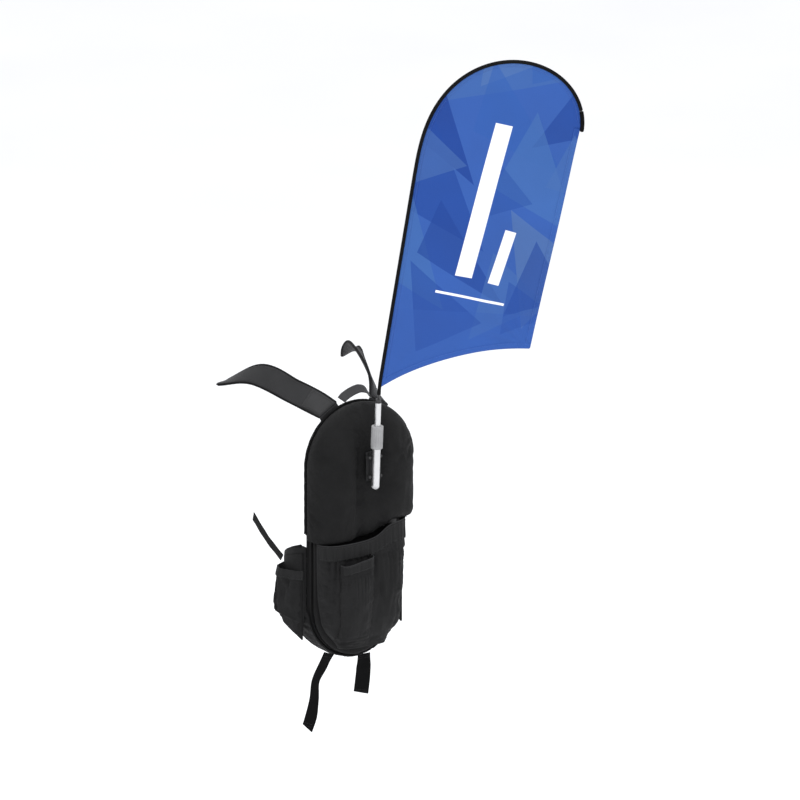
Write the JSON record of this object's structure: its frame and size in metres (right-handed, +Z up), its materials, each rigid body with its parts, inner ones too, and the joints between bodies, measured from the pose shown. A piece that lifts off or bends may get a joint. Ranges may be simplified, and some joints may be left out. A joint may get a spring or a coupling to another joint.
{
  "type": "backpack teardrop flag",
  "caption": "Wearable padded backpack with a tube on its rear face that carries a blue teardrop flag on a bent pole, with hip pouches, pockets and loose straps.",
  "frame": {"origin": "centre of the padded panel's face that lies on the wearer's back, at the middle of the mount wearer_back", "axes": "+Z up; +X to the wearer's right; +Y the way the wearer faces, away from the panel"},
  "size_m": [0.4254, 0.6955, 1.4312],
  "materials": {
    "padded_fabric": "padded black polyester weave",
    "shell_fabric": "coated black polyester",
    "pouch_fabric": "black polyester pocket cloth",
    "binding": "black binding tape",
    "strap_fabric": "grey-black padded strap",
    "webbing": "black woven webbing",
    "stiffener": "black polyethylene sheet",
    "moulding": "black moulded nylon",
    "tube_metal": "satin anodised aluminium",
    "cap_plastic": "light grey plastic",
    "collar_plastic": "grey moulded plastic",
    "fittings": "plain steel",
    "pole_fibreglass": "black fibreglass rod",
    "sleeve_fabric": "black knitted pole sleeve",
    "flag_cloth": "printed blue polyester"
  },
  "bodies": {
    "root": {"back_panel": "padded_fabric", "frame_sheet": "stiffener", "outer_shell": "shell_fabric", "shell_piping": "binding", "lower_body": "padded_fabric", "main_pouch": "pouch_fabric", "main_pouch_hem": "binding", "leaflet_pocket": "pouch_fabric", "leaflet_pocket_hem": "binding", "lumbar_skirt": "padded_fabric", "tube_bracket": "moulding", "bracket_rivets": "fittings", "hip_wing_left": "padded_fabric", "hip_wing_right": "padded_fabric", "hip_pouch_left": "pouch_fabric", "hip_pouch_right": "pouch_fabric", "lower_tube": "tube_metal", "tube_end_cap": "cap_plastic"},
    "collar": {"lock_collar": "collar_plastic"},
    "upper_tube": {"upper_tube": "tube_metal", "expander_plug": "moulding"},
    "bush": {"swivel_bush": "moulding"},
    "mast": {"pole_spigot": "fittings", "pole_stop_ring": "fittings", "pole_lower": "pole_fibreglass", "pole_ferrule": "fittings", "pole_upper": "pole_fibreglass", "pole_tip": "moulding", "pole_sleeve": "sleeve_fabric", "flag_end_pocket": "sleeve_fabric", "flag_panel": "flag_cloth", "flag_fly_hem": "flag_cloth", "flag_foot_hem": "flag_cloth"},
    "strap_left": {"shoulder_strap_left": "strap_fabric"},
    "strap_right": {"shoulder_strap_right": "strap_fabric"},
    "webbing_left": {"hip_webbing_left": "webbing"},
    "webbing_right": {"hip_webbing_right": "webbing"},
    "tail_left": {"waist_tail_left": "webbing"},
    "tail_right": {"waist_tail_right": "webbing"},
    "grab": {"grab_loop": "webbing"}
  },
  "joints": [
    {"name": "collar_twist", "type": "hinge", "parent": "root", "child": "collar", "pos_m": [0, -0.08913, 0.17886], "axis": [0, -0.0593, 0.9982], "range_deg": [0, 90]},
    {"name": "tube_extend", "type": "slide", "parent": "root", "child": "upper_tube", "axis": [0, -0.0593, 0.9982], "range_m": [-0.018, 0.04]},
    {"name": "flag_swivel", "type": "hinge", "parent": "upper_tube", "child": "bush", "pos_m": [0, -0.09476, 0.2737], "axis": [0, -0.0593, 0.9982], "range_deg": [-145, 35]},
    {"name": "pole_lift", "type": "slide", "parent": "bush", "child": "mast", "axis": [0, -0.0593, 0.9982], "range_m": [0, 0.04]},
    {"name": "strap_fold_left", "type": "hinge", "parent": "root", "child": "strap_left", "pos_m": [-0.062, -0.008, 0.25155], "axis": [-0.8619, 0, -0.507], "range_deg": [-15, 40]},
    {"name": "strap_fold_right", "type": "hinge", "parent": "root", "child": "strap_right", "pos_m": [0.062, -0.008, 0.25155], "axis": [-0.8619, 0, 0.507], "range_deg": [-15, 40]},
    {"name": "webbing_swing_left", "type": "hinge", "parent": "root", "child": "webbing_left", "pos_m": [-0.1153, 0.0775, -0.066], "axis": [0, -0.6, 0.8], "range_deg": [-25, 25]},
    {"name": "webbing_swing_right", "type": "hinge", "parent": "root", "child": "webbing_right", "pos_m": [0.1153, 0.0775, -0.066], "axis": [0, 0.6, -0.8], "range_deg": [-25, 25]},
    {"name": "tail_swing_left", "type": "hinge", "parent": "root", "child": "tail_left", "pos_m": [-0.06, -0.008, -0.25511], "axis": [0.8643, 0, -0.5029], "range_deg": [-30, 30]},
    {"name": "tail_swing_right", "type": "hinge", "parent": "root", "child": "tail_right", "pos_m": [0.026, -0.008, -0.26843], "axis": [0.976, 0, 0.2179], "range_deg": [-30, 30]},
    {"name": "grab_loop_swing", "type": "hinge", "parent": "root", "child": "grab", "pos_m": [0, -0.015, 0.2675], "axis": [1, 0, 0], "range_deg": [-30, 18]}
  ]
}
